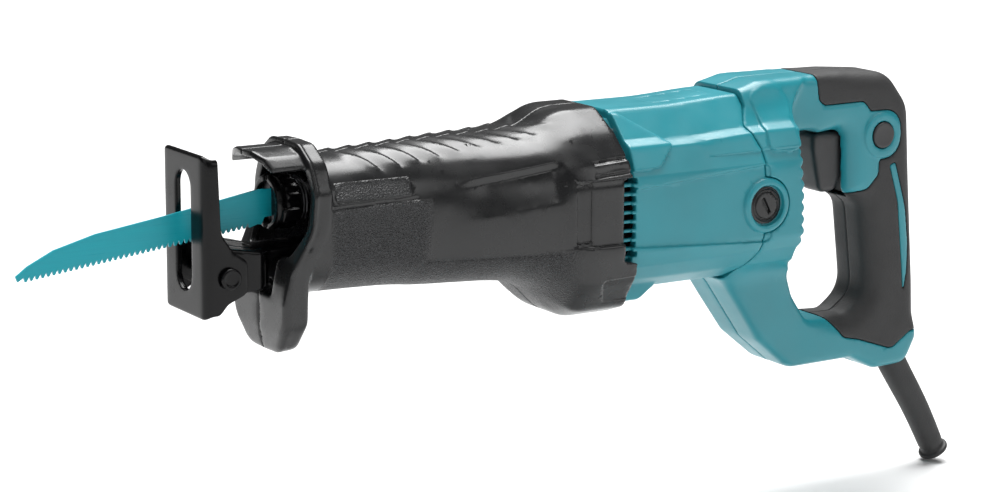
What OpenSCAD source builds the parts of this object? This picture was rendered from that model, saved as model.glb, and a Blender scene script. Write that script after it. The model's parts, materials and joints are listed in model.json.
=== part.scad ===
// Corded reciprocating saw with a D-handle.
// Origin: the stroke axis where it crosses the shoe's front face.
// X runs rearwards to the handle, Z is up, and -Y is the operator's left side.

/* [Stroke and blade] */
// Full stroke of the slider
stroke = 28; // [20:1:28]
// Blade thickness
blade_t = 1.3; // [0.9:0.1:1.6]
// Height of the blade at its root
blade_h = 19; // [16:1:19]
// Spacing of the teeth
tooth_pitch = 2.8; // [2.5:0.1:4]

/* [Shoe] */
// Height of the shoe plate
shoe_h = 78.5; // [74:0.5:79]
// Width of the shoe plate
shoe_w = 47; // [46:0.5:47]
// Thickness of the shoe plate
shoe_t = 3.2; // [2.5:0.1:3.5]
// Width of the blade slot
slot_w = 16; // [14:1:17]
// Length of the blade slot
slot_l = 58; // [50:1:60]

/* [Barrel and collar] */
// Half width of the barrel where the hand holds it
barrel_w = 32; // [32:0.5:34]
// Half width of the collar at the back of the front cover
collar_w = 48.5; // [47.5:0.5:49]
// Wall of the front cover
cover_wall = 3; // [2.5:0.1:3.2]

/* [Motor] */
// Height of the motor axis over the stroke axis
motor_z = -20.7; // [-21.5:0.1:-20]
// Bore of the motor housing
motor_bore = 38.4; // [38.2:0.1:38.6]
// Half width of the motor housing
housing_w = 43; // [42.5:0.1:44]

/* [Handle] */
// Half thickness of the grip
grip_half = 18; // [17:0.5:19]
// Wall of the handle halves
handle_wall = 3; // [2.4:0.1:3.2]
// Thickness of the soft grip skin
skin_t = 2.2; // [1.6:0.1:2.4]

/* [Cord] */
// Radius of the cord passage in the guard
cord_r = 4.1; // [3.5:0.1:4.4]

/* [Gearing] */
// Teeth on the armature pinion
pinion_teeth = 10; // [10:1:10]
// Teeth on the crank gear
gear_teeth = 40; // [40:1:40]

/* [Hidden] */
$fn = 64;

black = [0.09, 0.09, 0.10];
teal = [0.05, 0.50, 0.56];
charcoal = [0.20, 0.20, 0.21];
steel = [0.62, 0.63, 0.65];
alu = [0.72, 0.73, 0.75];
copper = [0.72, 0.42, 0.22];
brass = [0.78, 0.62, 0.28];

fit = 0.05;       // radial clearance of running fits
gap = 0.3;        // clearance between parts of different bodies
e = 1;            // overshoot of cuts

gear_x = 178;     // crank axis
gear_r = 26;      // mean radius of the gear's teeth
crank_r = stroke / 2;
pinion_r = gear_r * pinion_teeth / gear_teeth;
tooth_h = 2;
gear_face_z = motor_z + pinion_r + tooth_h / 2;
gear_top_z = -7.2;
roller_r = 5.5;
roller_top_z = 0.5;
yoke_z0 = 1;
yoke_z1 = 8.6;
yoke_half = crank_r + roller_r + 2;
slider_r = 8;
slider_x0 = 62;
slider_x1 = 133;
collar_x0 = 43.5;
collar_l = 13.5;
collar_r = 13.5;
pin_x = collar_x0 + 8.5;
holder_r = 10.5;
brush_x = 314;
seam_x = 312;
housing_x0 = 221;
boss_r = 15.5;
cap_r = 8.6;
rivet_x = 12.6;
rivet_z = -29.8;
lock_x = 411;
lock_z = 5;
shoe_top = 29;
shoe_z0 = shoe_top - shoe_h;
slot_z = -9;
blade_room = blade_t / 2 + 0.9;

// ---- small helpers -------------------------------------------------------

function unit(v) = v / norm(v);

// Points of one outline corner q, rounded to radius r, between p and s
function corner(p, q, s, r, n) =
    let (a = unit(p - q), b = unit(s - q), half = acos(a * b) / 2,
         c = q + unit(a + b) * r / sin(half),
         t0 = q + a * r / tan(half) - c,
         t1 = q + b * r / tan(half) - c,
         a0 = atan2(t0.y, t0.x),
         turn = ((atan2(t1.y, t1.x) - a0 + 540) % 360) - 180)
    r <= 0 ? [q] : [for (i = [0:n]) c + r * [cos(a0 + turn * i / n), sin(a0 + turn * i / n)]];

// Closed outline from [x, y, corner radius] points
function outline(c, n = 4) = [for (i = [0:len(c) - 1])
    let (m = len(c), p = c[(i + m - 1) % m], q = c[i], s = c[(i + 1) % m])
    each corner([p.x, p.y], [q.x, q.y], [s.x, s.y], q[2], n)];

module along_x(x0, x1) translate([x0, 0, 0]) rotate([90, 0, 90]) linear_extrude(x1 - x0) children();

module along_y(y0, y1) translate([0, y1, 0]) rotate([90, 0, 0]) linear_extrude(y1 - y0) children();

module rod_x(x0, x1, r, z = 0, y = 0) translate([x0, y, z]) rotate([0, 90, 0])
    cylinder(h = x1 - x0, r = r);

module rod_y(y0, y1, r, x, z) translate([x, y1, z]) rotate([90, 0, 0]) cylinder(h = y1 - y0, r = r);

module rod_z(z0, z1, r, x, y = 0) translate([x, y, z0]) cylinder(h = z1 - z0, r = r);

module tube_x(x0, x1, r, bore, z = 0) difference() {
    rod_x(x0, x1, r, z);
    rod_x(x0 - e, x1 + e, bore, z);
}

module box(lo, hi) translate(lo) cube(hi - lo);

module left_only() intersection() {
    children();
    box([-200, -200, -300], [600, 0, 200]);
}

module both_sides() {
    children();
    mirror([0, 1, 0]) children();
}

// ---- blade ---------------------------------------------------------------

blade_root = [40, 6.8];
blade_tip = [-85, -22.5];
teeth_x0 = -81;
teeth_x1 = 39;
heel_x = 27;
teeth_slope = (blade_h - 5) / 115;

function teeth_z(x) = blade_root.y - blade_h - (heel_x - x) * teeth_slope;

function teeth_points() = [for (x = [teeth_x0:tooth_pitch:teeth_x1 - tooth_pitch])
    each [[x, teeth_z(x) + 2.2], [x + 0.6, teeth_z(x)], [x + 1.3, teeth_z(x)]]];

module blade() color(teal) along_y(-blade_t / 2, blade_t / 2)
    polygon(concat([[62, 6], [blade_root.x, 6.8], [-10, -1.5], [-45, -6.5], [-66, -12], [-79, -18.2],
        blade_tip, [-84, -25]], teeth_points(),
        [[teeth_x1, teeth_z(teeth_x1) + 0.6], [41, -10.5], [42.8, -7], [62, -6]]));

// ---- slider and blade clamp ----------------------------------------------

module slider() color(steel) {
    difference() {
        union() {
            rod_x(slider_x0, slider_x1, slider_r);
            box([slider_x1 - 12, -5.4, yoke_z0], [gear_x - 12, 5.4, yoke_z1 - 0.4]);
            box([gear_x - 13, -yoke_half, yoke_z0], [gear_x + 13, yoke_half, yoke_z1]);
        }
        box([gear_x - roller_r - 0.2, -crank_r - roller_r - 0.6, yoke_z0 - e],
            [gear_x + roller_r + 0.2, crank_r + roller_r + 0.6, yoke_z1 - 2]);
        box([slider_x1 - 12, -slider_r - e, -slider_r - e], [slider_x1 + e, slider_r + e, yoke_z0]);
        rod_x(slider_x0 - e, slider_x0 + 30, 5);
    }
}

module clamp_holder() color(steel) difference() {
    union() {
        rod_x(collar_x0 + 3, slider_x0 - 0.1, holder_r - fit);
        rod_x(slider_x0 - 0.1, slider_x0 + 29, 5);
    }
    box([collar_x0 - e, -blade_t / 2, -15], [slider_x0 + 0.4, blade_t / 2, 15]);
    rod_y(-12, -3, 2, pin_x, 0);
}

module clamp_pin() color(steel) rod_y(-10.3, -3.2, 1.9, pin_x, 0);

// Collar that turns about the holder; two lugs are its finger grips
module clamp_collar() color(black) difference() {
    union() {
        rod_x(collar_x0, collar_x0 + collar_l, collar_r);
        for (a = [20, 200]) rotate([a, 0, 0])
            box([collar_x0 + 2, collar_r - 2, -3], [collar_x0 + collar_l - 1, collar_r + 2.5, 3]);
    }
    rod_x(collar_x0 + 2.6, collar_x0 + collar_l + e, holder_r + fit);
    rod_x(collar_x0 - e, collar_x0 + 4, holder_r - 0.4);
}

module coil_x(x0, x1, r, wire, turns) {
    steps = turns * 16;
    sides = 5;
    turn = 360 * turns / steps;
    function centre(i) = [x0 + (x1 - x0) * i / steps, r * cos(turn * i), r * sin(turn * i)];
    function out(i, a) = cos(a) * [0, cos(turn * i), sin(turn * i)] + sin(a) * [1, 0, 0];
    points = [for (i = [0:steps]) for (k = [0:sides - 1]) centre(i) + wire * out(i, k * 360 / sides)];
    skin = [for (i = [0:steps - 1]) for (k = [0:sides - 1])
        [i * sides + k, i * sides + (k + 1) % sides, (i + 1) * sides + (k + 1) % sides, (i + 1)
            * sides + k]];
    ends = [[for (k = [0:sides - 1]) sides - 1 - k], [for (k = [0:sides - 1]) steps * sides + k]];
    polyhedron(points, concat(skin, ends));
}

module clamp_spring() color(steel) coil_x(collar_x0 + collar_l + 1, slider_x0 - 1, holder_r + 1, 0.45, 2);

// ---- gear train ----------------------------------------------------------

// Face gear: its teeth point down at the pinion. It turns with its shaft.
module crank_gear() color(steel) {
    rod_z(gear_face_z, gear_top_z, gear_r + 3, gear_x);
    rod_z(-43.4, gear_face_z, 7, gear_x);
    translate([gear_x, 0, gear_face_z - tooth_h]) for (i = [0:gear_teeth - 1])
        rotate([0, 0, (i + 0.5) * 360 / gear_teeth]) translate([gear_r - 2.5, -0.5, 0]) cube([5, 1,
            tooth_h + 0.5]);
    rod_z(gear_top_z - 1, roller_top_z - 0.3, 3, gear_x, -crank_r);
}

module crank_roller() color(steel) difference() {
    rod_z(gear_top_z, roller_top_z, roller_r, gear_x, -crank_r);
    rod_z(gear_top_z - e, roller_top_z + e, 3, gear_x, -crank_r);
}

module gear_bearings() color(steel) {
    difference() {
        rod_z(-43, -35, 13, gear_x);
        rod_z(-44, -34, 7 + fit, gear_x);
    }
    difference() {
        rod_z(-32, -22, 11, gear_x);
        rod_z(-33, -21, 7 + fit, gear_x);
    }
}

// ---- gear housing --------------------------------------------------------

housing_wall = 3.2;
chamber_wall = 3.6;
lid_z = 9.8;
lid_t = 2.4;
lid_screw_places = [for (sx = [-1, 1]) for (sy = [-1, 1])
    [gear_x + sx * 29.8, sy * (yoke_half + 1 + chamber_wall / 2)]];
housing_screw_places = [[22, 22], [24, -54]];
chamber_r = gear_r + 5.2;
nose_x = 78;
clamp_xs = [84, 96];

module housing_profile(inset = 0) {
    w = housing_w - inset;
    polygon(outline([[-w, 1, 3], [-w, -38, 3], [-40 + inset, -44, 3], [-31 + inset, -54 + inset * 0.7, 4],
        [-20, -61 + inset, 5], [20, -61 + inset, 5], [31 - inset, -54 + inset * 0.7, 4],
            [40 - inset, -44, 3],
        [w, -38, 3], [w, 1, 3], [37 - inset, 12 - inset * 0.5, 3], [31 - inset, 19 - inset * 0.7, 3],
        [19, 33.5 - inset, 4], [-19, 33.5 - inset, 4], [-31 + inset, 19 - inset * 0.7, 3],
        [-37 + inset, 12 - inset * 0.5, 3]], 2));
}

// The part of the housing outline that goes inside the front cover
module neck_profile() intersection() {
    housing_profile(1);
    translate([-60, -100]) square([120, 127.4]);
}

module chamber_box(grow, z0, z1) box([gear_x - 28 - grow, -yoke_half - 1 - grow, z0],
    [gear_x + 28 + grow, yoke_half + 1 + grow, z1]);

module gear_housing() color(alu) difference() {
    union() {
        rod_x(nose_x, 146, 12.5);
        rod_z(-19.5, 0.5, chamber_r + housing_wall, gear_x);
        rod_z(-44.8, -19, 16, gear_x);
        box([nose_x, -17, -20.3], [150, 17, -9]);
        both_sides() box([nose_x, 15.5, -26.2], [150, 19, -9]);
        chamber_box(chamber_wall, -3, lid_z);
        rod_x(205, 220.8, 17, motor_z);
        along_x(213, 220.8) neck_profile();
        box([gear_x, -24, -19.5], [214, 24, lid_z]);
    }
    rod_z(-16.5, -3, chamber_r, gear_x);
    chamber_box(0, -4, lid_z + e);
    rod_z(-21.8, -16, 11.5, gear_x);
    rod_z(-32.1, -21, 11, gear_x);
    rod_z(-35, -31, 9, gear_x);
    rod_z(-43, -34.8, 13, gear_x);
    rod_z(-50, -42, 9, gear_x);
    rod_x(60, 150, 10.4);
    rod_x(190, 213, 9, motor_z);
    rod_x(211.8, 225, 13, motor_z);
    box([130, -9.5, -3], [172, 9.5, 11]);
    for (x = clamp_xs) rod_z(-30, -11.5, 2.1, x);
    both_sides() for (p = housing_screw_places) rod_x(210, 225, 2.1, p.y, p.x);
    both_sides() box([212, 19, -44], [222, 33, 6]);
    for (p = lid_screw_places) rod_z(lid_z - 6, lid_z + e, 1.5, p.x, p.y);
}

module gear_housing_lid() color(alu) difference() {
    chamber_box(chamber_wall, lid_z, lid_z + lid_t);
    for (p = lid_screw_places) rod_z(lid_z - e, lid_z + lid_t + e, 1.6, p.x, p.y);
}

module lid_screws() color(steel) for (p = lid_screw_places) {
    rod_z(lid_z - 5.5, lid_z + lid_t + 0.2, 1.4, p.x, p.y);
    rod_z(lid_z + lid_t, lid_z + lid_t + 1.5, 2.2, p.x, p.y);
}

module guide_sleeve() color(brass) tube_x(nose_x + 6, 106, 10.4, slider_r + fit);

module dust_seal() color(black) tube_x(nose_x + 0.5, nose_x + 5.5, 10.4, slider_r + fit);

// ---- armature ------------------------------------------------------------

module armature_shaft() color(steel) {
    rod_x(198.5, 210, pinion_r - 1.2, motor_z);
    translate([199, 0, motor_z]) for (i = [0:pinion_teeth - 1]) rotate([i * 360 / pinion_teeth, 0, 0])
        translate([0, -0.5, 2]) cube([10, 1, pinion_r - 1.3]);
    rod_x(209.5, 242, 5, motor_z);
    rod_x(242, 302, 6, motor_z);
    rod_x(302, 338, 4, motor_z);
}

module armature_core() color(steel) difference() {
    tube_x(242, 292, 21.5, 6, motor_z);
    for (i = [0:11]) translate([0, 0, motor_z]) rotate([i * 30, 0, 0]) box([241, -1.2, 16],
        [293, 1.2, 23]);
}

module armature_windings() color(copper) {
    tube_x(236.5, 242, 17, 5, motor_z);
    tube_x(292, 300, 17, 6, motor_z);
    for (i = [0:11]) translate([0, 0, motor_z]) rotate([i * 30, 0, 0]) box([242, -1, 16.2],
        [292, 1, 20.5]);
}

module commutator() color(copper) difference() {
    tube_x(304, 324, 14, 4, motor_z);
    for (i = [0:23]) translate([0, 0, motor_z]) rotate([i * 15 + 7.5, 0, 0]) box([303, -0.3, 12.8],
        [325, 0.3, 15]);
}

module fan() color(black) {
    tube_x(225, 236, 9, 5, motor_z);
    tube_x(232.5, 234.5, 36, 8.5, motor_z);
    for (i = [0:10]) translate([0, 0, motor_z]) rotate([i * 360 / 11, 0, 0])
        translate([225, 10, -0.8]) cube([8, 25, 1.6]);
}

module front_bearing() color(steel) tube_x(212, 220, 13, 5 + fit, motor_z);

module rear_bearing() color(steel) tube_x(330, 337, 11, 4 + fit, motor_z);

module baffle_plate() color(black) difference() {
    along_x(221.2, 223.4) translate([0, motor_z]) circle(r = 37.8);
    rod_x(220, 225, 14, motor_z);
}

// ---- field ---------------------------------------------------------------

module stator_core() color(steel) difference() {
    rod_x(242, 292, motor_bore - 0.1, motor_z);
    rod_x(241, 293, 22.2, motor_z);
    for (s = [0, 180]) translate([0, 0, motor_z]) rotate([s, 0, 0]) box([241, -18, 22], [293, 18, 31]);
}

module field_coils() color(copper) for (s = [0, 180]) translate([0, 0, motor_z]) rotate([s, 0, 0])
    difference() {
        box([237.5, -17.5, 22.8], [296.5, 17.5, 30.5]);
        box([242.5, -12, 22], [291.5, 12, 31.5]);
    }

// ---- motor housing -------------------------------------------------------

module foot_profile(z0) polygon(outline([[-24, -50, 2], [24, -50, 2], [20, z0, 4], [-20, z0, 4]], 2));

module vent_row() for (i = [0:8]) box([223, 30, -39 + i * 4.6], [227.5, 50, -36.4 + i * 4.6]);

module motor_housing() color(teal) difference() {
    union() {
        along_x(229.4, seam_x) housing_profile();
        along_x(housing_x0, 230) neck_profile();
        along_x(housing_x0, 234) foot_profile(-66);
        along_x(233.4, 252) foot_profile(-68.5);
        rod_x(seam_x - e, 338.5, 36, motor_z);
        both_sides() rod_y(28, housing_w + 1.2, boss_r, brush_x, motor_z);
    }
    rod_x(housing_x0 - e, 300, motor_bore, motor_z);
    rod_x(299, 329, 30, motor_z);
    rod_x(328, 337, 11, motor_z);
    rod_x(336, 340, 6, motor_z);
    both_sides() rod_y(20, 50, cap_r + 0.1, brush_x, motor_z);
    both_sides() rod_y(housing_w - 1.6, 50, 10.8, brush_x, motor_z);
    both_sides() vent_row();
    both_sides() for (p = housing_screw_places) rod_x(200, 262, 2.1, p.y, p.x);
    for (a = [20:40:340]) translate([0, 0, motor_z]) rotate([a, 0, 0]) box([330, 15, -5], [340, 30, 5]);
}

module housing_screws() color(steel) both_sides() for (p = housing_screw_places) rod_x(213.4, 258, 2,
    p.y, p.x);

module brush_holders() color(brass) both_sides() difference() {
    rod_y(17.5, 38, cap_r, brush_x, motor_z);
    box([brush_x - 4.05, 16, motor_z - 3.05], [brush_x + 4.05, 39, motor_z + 3.05]);
}

module carbon_brushes() color(charcoal) both_sides()
    box([brush_x - 4, 14.4, motor_z - 3], [brush_x + 4, 27, motor_z + 3]);

module brush_springs() color(steel) both_sides() translate([brush_x, 27.2, motor_z]) rotate([0, 0, 90])
    coil_x(0.5, 10, 2, 0.35, 5);

module brush_caps() color(black) both_sides() difference() {
    rod_y(38.2, housing_w - 0.4, cap_r, brush_x, motor_z);
    translate([brush_x, 0, motor_z]) rotate([0, 25, 0]) box([-5, housing_w - 2.2, -0.8], [5, 50, 0.8]);
}

// ---- handle --------------------------------------------------------------

handle_pts = [[312, 33, 0], [324, 40.2, 8], [384, 41.5, 10], [418, 38.5, 16], [432, 20, 20],
    [437, -20, 30],
    [444, -80, 40], [446, -112, 10], [436, -127, 9], [412, -127.5, 8], [396, -119, 6], [352, -119.5, 12],
    [330, -101, 10], [304, -64, 3], [304, -40, 0], [312, -34, 0]];
hand_gap_pts = [[343, 10.5, 4], [387.5, 10.5, 5], [388.5, -27, 5], [402, -34, 8], [407.5, -86, 13],
    [394, -94.5, 6], [364, -93.5, 7], [353, -78, 10], [343, -48, 20]];
grip_pts = [[362, 60, 0], [367, 27, 4], [371, 24.2, 2], [398, 24.4, 5], [403, 18.6, 1], [424, 18.6, 3],
    [424.6, -7, 3], [410, -8.6, 3], [409.6, -17, 5], [402, -24.6, 6], [392, -26.6, 2], [380, -30, 0],
    [380, -70, 0], [368, -86, 0], [377, -93, 3], [389, -106, 5], [400, -108.5, 6], [423, -116.4, 6],
    [436, -108, 3], [480, -104, 0], [480, 60, 0]];

module handle_side(inset = 0) difference() {
    offset(delta = -inset) polygon(outline(handle_pts));
    offset(delta = inset) polygon(outline(hand_gap_pts));
}

module handle_half() difference() {
    left_only() union() {
        along_y(-grip_half, 0) handle_side();
        intersection() {
            along_x(seam_x + 0.1, 345) housing_profile();
            along_y(-60, 0) polygon(outline([[300, 45, 0], [340, 45, 0], [341, 12, 6], [337, -5, 6],
                [340, -20, 10],
                [337, -42, 6], [345, -56, 0], [345, -70, 0], [300, -70, 0]]));
        }
    }
    difference() {
        along_y(-grip_half + handle_wall + skin_t, e) handle_side(handle_wall + skin_t);
        for (p = screw_places) rod_y(-grip_half, 2 * e, 4.2, p.x, p.y);
    }
    rod_x(300, 339, 36.2, motor_z);
    along_x(300, seam_x + 0.1) difference() {
        square(200, center = true);
        translate([0, -86]) square([2 * grip_half + 0.2, 50], center = true);
    }
    along_x(300, seam_x + 0.1) housing_profile();
    rod_y(-60, -27, boss_r + 0.2, brush_x, motor_z);
    translate([384, 0, 0]) box([-10, -9.3, -27.4], [24, e, 8]);
    grip_cut();
    rod_y(-30, e, 7.3 + 0.15, lock_x, lock_z);
    cord_cut();
    for (p = screw_places) rod_y(-12.5, e, 2.05, p.x, p.y);
    box([388, -10, -29], [425, e, 12]);
}

screw_places = [[338, -84], [356, 26], [424, -62], [384, -106], [420, 27]];

module grip_cut() difference() {
    along_y(-grip_half - e, e) polygon(outline(grip_pts));
    along_y(-grip_half + skin_t, e + 1) handle_side(skin_t);
}

module grip_half_skin() difference() {
    intersection() {
        left_only() along_y(-grip_half, 0) handle_side();
        grip_cut();
    }
    rod_y(-30, e, 7.3 + 0.15, lock_x, lock_z);
    cord_cut();
}

module lock_boss() difference() {
    rod_y(-grip_half - 1.6, -grip_half + 2, 12.4, lock_x, lock_z);
    rod_y(-60, 0, 7.3 + 0.15, lock_x, lock_z);
}

module handle_left() color(teal) {
    handle_half();
    lock_boss();
}

module screw_wells() for (p = screw_places) {
    rod_y(0, grip_half + e, 2.05, p.x, p.y);
    rod_y(grip_half - 5, grip_half + e, 3.8, p.x, p.y);
}

module handle_right() color(teal) difference() {
    mirror([0, 1, 0]) handle_half();
    screw_wells();
}

module grip_left() color(charcoal) difference() {
    grip_half_skin();
    rod_y(-60, 0, 12.4, lock_x, lock_z);
}

module grip_right() color(charcoal) difference() {
    mirror([0, 1, 0]) grip_half_skin();
    screw_wells();
}

module handle_screws() color(steel) for (p = screw_places) {
    rod_y(-12, grip_half - 5, 1.95, p.x, p.y);
    rod_y(grip_half - 5, grip_half - 2.4, 3.6, p.x, p.y);
}

module switch_body() color(black) difference() {
    box([398.6, -9.5, -28], [424, 9.5, 11]);
    rod_y(-12, -3, 7.6, lock_x, lock_z);
}

trigger_x = 371;
module trigger() color(charcoal) intersection() {
    along_y(-9, 9) polygon(outline([[trigger_x, 7, 3], [392, 7, 0], [392, -20, 2], [386, -26, 3],
        [377, -26, 5],
        [374.5, -10, 12]]));
    along_x(360, 395) polygon(outline([[-9, 20, 0], [-9, -26.5, 4], [9, -26.5, 4], [9, 20, 0]]));
}

module lock_button() color(charcoal) {
    rod_y(-grip_half - 2.4, -6.5, 7.3, lock_x, lock_z);
}

module suppressor() color(brass) box([368, -8, 17], [392, 8, 31]);

// ---- cord guard ----------------------------------------------------------

guard_top = [431, 0, -116];
guard_tip = [473, 0, -187];
guard_dir = unit(guard_tip - guard_top);

module between(p, q, r0, r1) {
    d = q - p;
    translate(p) rotate([0, 90 + atan2(-d.z, d.x), 0]) cylinder(h = norm(d), r1 = r0, r2 = r1);
}

module cord_guard() color(charcoal) difference() {
    union() {
        between(guard_top, guard_tip - 2.2 * guard_dir, 8.8, 7.2);
        between(guard_tip - 2.4 * guard_dir, guard_tip, 8.8, 8.8);
    }
    between(guard_top - 2 * guard_dir, guard_tip + 2 * guard_dir, cord_r, cord_r);
}

module cord_cut() between(guard_top - 0.2 * guard_dir, guard_tip, 8.9, 7.3);

module cord_clamp() color(black) difference() {
    box([398, -10, -111], [412, 10, -107]);
    for (s = [-7, 7]) rod_z(-120, -105, 1.7, 405, s);
}

module cord_clamp_screws() color(steel) for (s = [-7, 7]) {
    rod_z(-113, -107, 1.6, 405, s);
    rod_z(-107, -104.8, 2.8, 405, s);
}

// ---- front cover ---------------------------------------------------------

// Stations: [x on the stroke axis, half width, top z, bottom z, roundness]
cover_stations = [[60, 31, 22, -45, 2.3], [84, barrel_w, 22, -45, 2.4], [107, barrel_w, 23.5, -45.5, 2.5],
    [130, barrel_w + 1, 25, -46, 2.6], [150, barrel_w + 5, 26, -47, 2.7],
        [170, barrel_w + 9, 26.5, -49, 2.8],
    [183, 44, 27, -52.5, 2.8], [195, 46.2, 29.5, -60, 2.8], [207, collar_w - 0.4, 34, -68, 2.8],
    [218, collar_w, 34.5, -72.5, 2.9], [228, collar_w - 0.6, 33.4, -72, 2.9]];
arc_steps = 18;

function super(c, n) = sign(c) * pow(abs(c), 2 / n);

function cover_point(st, wall, t) =
    let (mid = (st[2] + st[3]) / 2, h = (st[2] - st[3]) / 2 - wall,
         z = mid + h * super(sin(t), st[4]))
    [st[0] - 0.09 * (z - mid) * (st[0] > 200 ? 1 : 0), (st[1] - wall) * super(cos(t), st[4]), z];

function cover_ring(st) = concat(
    [for (i = [0:arc_steps]) cover_point(st, 0, 90 + 180 * i / arc_steps)],
    [for (i = [0:arc_steps]) cover_point(st, cover_wall, 270 - 180 * i / arc_steps)]);

module cover_barrel_half() {
    rings = [for (st = cover_stations) cover_ring(st)];
    m = len(rings[0]);
    last = len(rings) - 1;
    skin = [for (i = [0:last - 1]) for (k = [0:m - 1])
        each [[i * m + k, (i + 1) * m + k, (i + 1) * m + (k + 1) % m],
              [i * m + k, (i + 1) * m + (k + 1) % m, i * m + (k + 1) % m]]];
    front = [for (k = [0:arc_steps - 1]) [k, k + 1, m - 2 - k, m - 1 - k]];
    back = [for (k = [0:arc_steps - 1]) [last * m + k + 1, last * m + k, last * m + m - 1 - k,
        last * m + m - 2 - k]];
    polyhedron([for (r = rings) each r], concat(skin, front, back), convexity = 6);
}

module nose_outline(inset) polygon(outline([[-31.5 + inset, 12, 22], [-27 + inset, 29 - inset, 14],
    [27 - inset, 29 - inset, 14], [31.5 - inset, 12, 22], [28 - inset, -46 + inset, 6],
        [-28 + inset, -46 + inset, 6]]));

module chin() intersection() {
    along_y(-28, 28) polygon(outline([[39, -44, 0], [39, -60, 8], [44, -71, 8], [57, -71, 8],
        [63, -56, 10], [63, -24, 0],
        [52, -24, 0], [41, -30, 4]]));
    along_x(30, 70) polygon(outline([[-27.5, -20, 0], [-26, -55, 14], [-14, -71, 10], [14, -71, 10],
        [26, -55, 14],
        [27.5, -20, 0]]));
}

module nose_half() left_only() difference() {
    union() {
        along_x(55.5, 64) nose_outline(0);
        chin();
        along_x(31, 58) polygon([[-22.5, 19.5], [-17, 24.5], [-9, 27], [9, 27], [17, 24.5],
            [22.5, 19.5], [19.5, 18],
            [15, 21.8], [8, 24], [-8, 24], [-15, 21.8], [-19.5, 18]]);
    }
    along_x(50, 70) polygon(outline([[-27, 6, 18], [-22, 22.5, 10], [22, 22.5, 10], [27, 6, 18],
        [25, -41, 4], [-25, -41, 4]]));
    box([30, -24.5, -42.5], [70, 24.5, -20]);
}

module front_cover_left() color(black) {
    difference() {
        union() {
            cover_barrel_half();
            nose_half();
        }
        both_sides() box([221.5, 30, -41], [236, 60, 1]);
    }
}

module front_cover_right() mirror([0, 1, 0]) front_cover_left();

// ---- shoe and its bracket ------------------------------------------------

half_shoe = shoe_w / 2;
bracket_half = half_shoe - shoe_t - gap;

module shoe_side() polygon(outline([[0, shoe_top, 2.5], [9, shoe_top, 2.5], [9.5, -9, 10],
    [16, -18, 10], [23, -24, 7],
    [22.6, -38, 7], [10, -43, 8], [9.5, shoe_z0, 2.5], [0, shoe_z0, 2.5]]));

module shoe() color(black) difference() {
    intersection() {
        along_y(-half_shoe, half_shoe) shoe_side();
        translate([0, 0, -60]) linear_extrude(100) polygon(outline([[0, -half_shoe, 5],
            [30, -half_shoe, 0],
            [30, half_shoe, 0], [0, half_shoe, 5]]));
    }
    translate([0, 0, -60]) linear_extrude(100) polygon(outline([[shoe_t, -half_shoe + shoe_t, 2],
        [31, -half_shoe + shoe_t, 0],
        [31, half_shoe - shoe_t, 0], [shoe_t, half_shoe - shoe_t, 2]]));
    translate([0, 0, slot_z]) rotate([0, 90, 0]) translate([0, 0, -e]) linear_extrude(shoe_t + 2 * e) {
        square([slot_l - slot_w, slot_w], center = true);
        for (s = [-1, 1]) translate([s * (slot_l - slot_w) / 2, 0]) circle(d = slot_w);
    }
    rod_y(-30, 30, 3, rivet_x, rivet_z);
}

module shoe_rivet() color(black) {
    rod_y(-half_shoe - 0.1, half_shoe + 0.1, 3, rivet_x, rivet_z);
    both_sides() rod_y(half_shoe, half_shoe + 2.6, 5.3, rivet_x, rivet_z);
}

module bracket_side() polygon(outline([[rivet_x, -16, 1.5], [40, -20.6, 0], [125, -20.6, 0],
    [125, -25.6, 0],
    [40, -25.6, 2], [37.5, -38.5, 3], [rivet_x, -39, 0], [rivet_x - 5.5, -36.3, 2],
        [rivet_x - 8, -29.8, 3],
    [rivet_x - 5.5, -21, 3]]));

module shoe_bracket() color(black) difference() {
    intersection() {
        along_y(-bracket_half, bracket_half) bracket_side();
        union() {
            box([0, -bracket_half, -45], [36.8, bracket_half, 0]);
            box([36, -15.2, -45], [126, 15.2, 0]);
        }
    }
    along_y(-bracket_half + 3, bracket_half - 3) polygon([[0, -60], [0, -19.5], [rivet_x, -19.5],
        [34, -24], [34, -60]]);
    rod_y(-30, 30, 3 + fit, rivet_x, rivet_z);
    rod_z(-40, -10, 1.5, 32.7);
    box([0, -blade_room, -21], [22, blade_room, -10]);
    box([80, -3.2, -30], [120, 3.2, -18]);
}

module bracket_clamp_plate() color(steel) difference() {
    box([79, -14.8, -30.2], [101, 14.8, -26]);
    for (x = clamp_xs) rod_z(-40, -20, 2.1, x);
}

module bracket_screws() color(steel) for (x = clamp_xs) {
    rod_z(-30.4, -12, 2, x);
    difference() {
        rod_z(-34, -30.2, 4.5, x);
        translate([x, 0, -35]) cylinder(h = 3, r = 2.4, $fn = 6);
    }
}

// ---- what is drawn -------------------------------------------------------

front_cover_left();
front_cover_right();
motor_housing();
handle_left();
handle_right();
grip_left();
grip_right();
gear_housing();
gear_housing_lid();
lid_screws();
housing_screws();
guide_sleeve();
dust_seal();
slider();
clamp_holder();
clamp_pin();
clamp_spring();
clamp_collar();
blade();
crank_gear();
crank_roller();
gear_bearings();
armature_shaft();
armature_core();
armature_windings();
commutator();
fan();
front_bearing();
rear_bearing();
baffle_plate();
stator_core();
field_coils();
brush_holders();
carbon_brushes();
brush_springs();
brush_caps();
switch_body();
trigger();
lock_button();
suppressor();
cord_guard();
cord_clamp();
cord_clamp_screws();
handle_screws();
shoe_bracket();
bracket_clamp_plate();
bracket_screws();
shoe();
shoe_rivet();
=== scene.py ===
"""Looks for the corded reciprocating saw: moulded shells as distance fields, and procedural materials.

Lengths inside this script are millimetres in the shared frame: X rearwards from the shoe, Z up, -Y the
side with the lock-on button. Meshes are written out in metres.
"""
import json
import math

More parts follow.
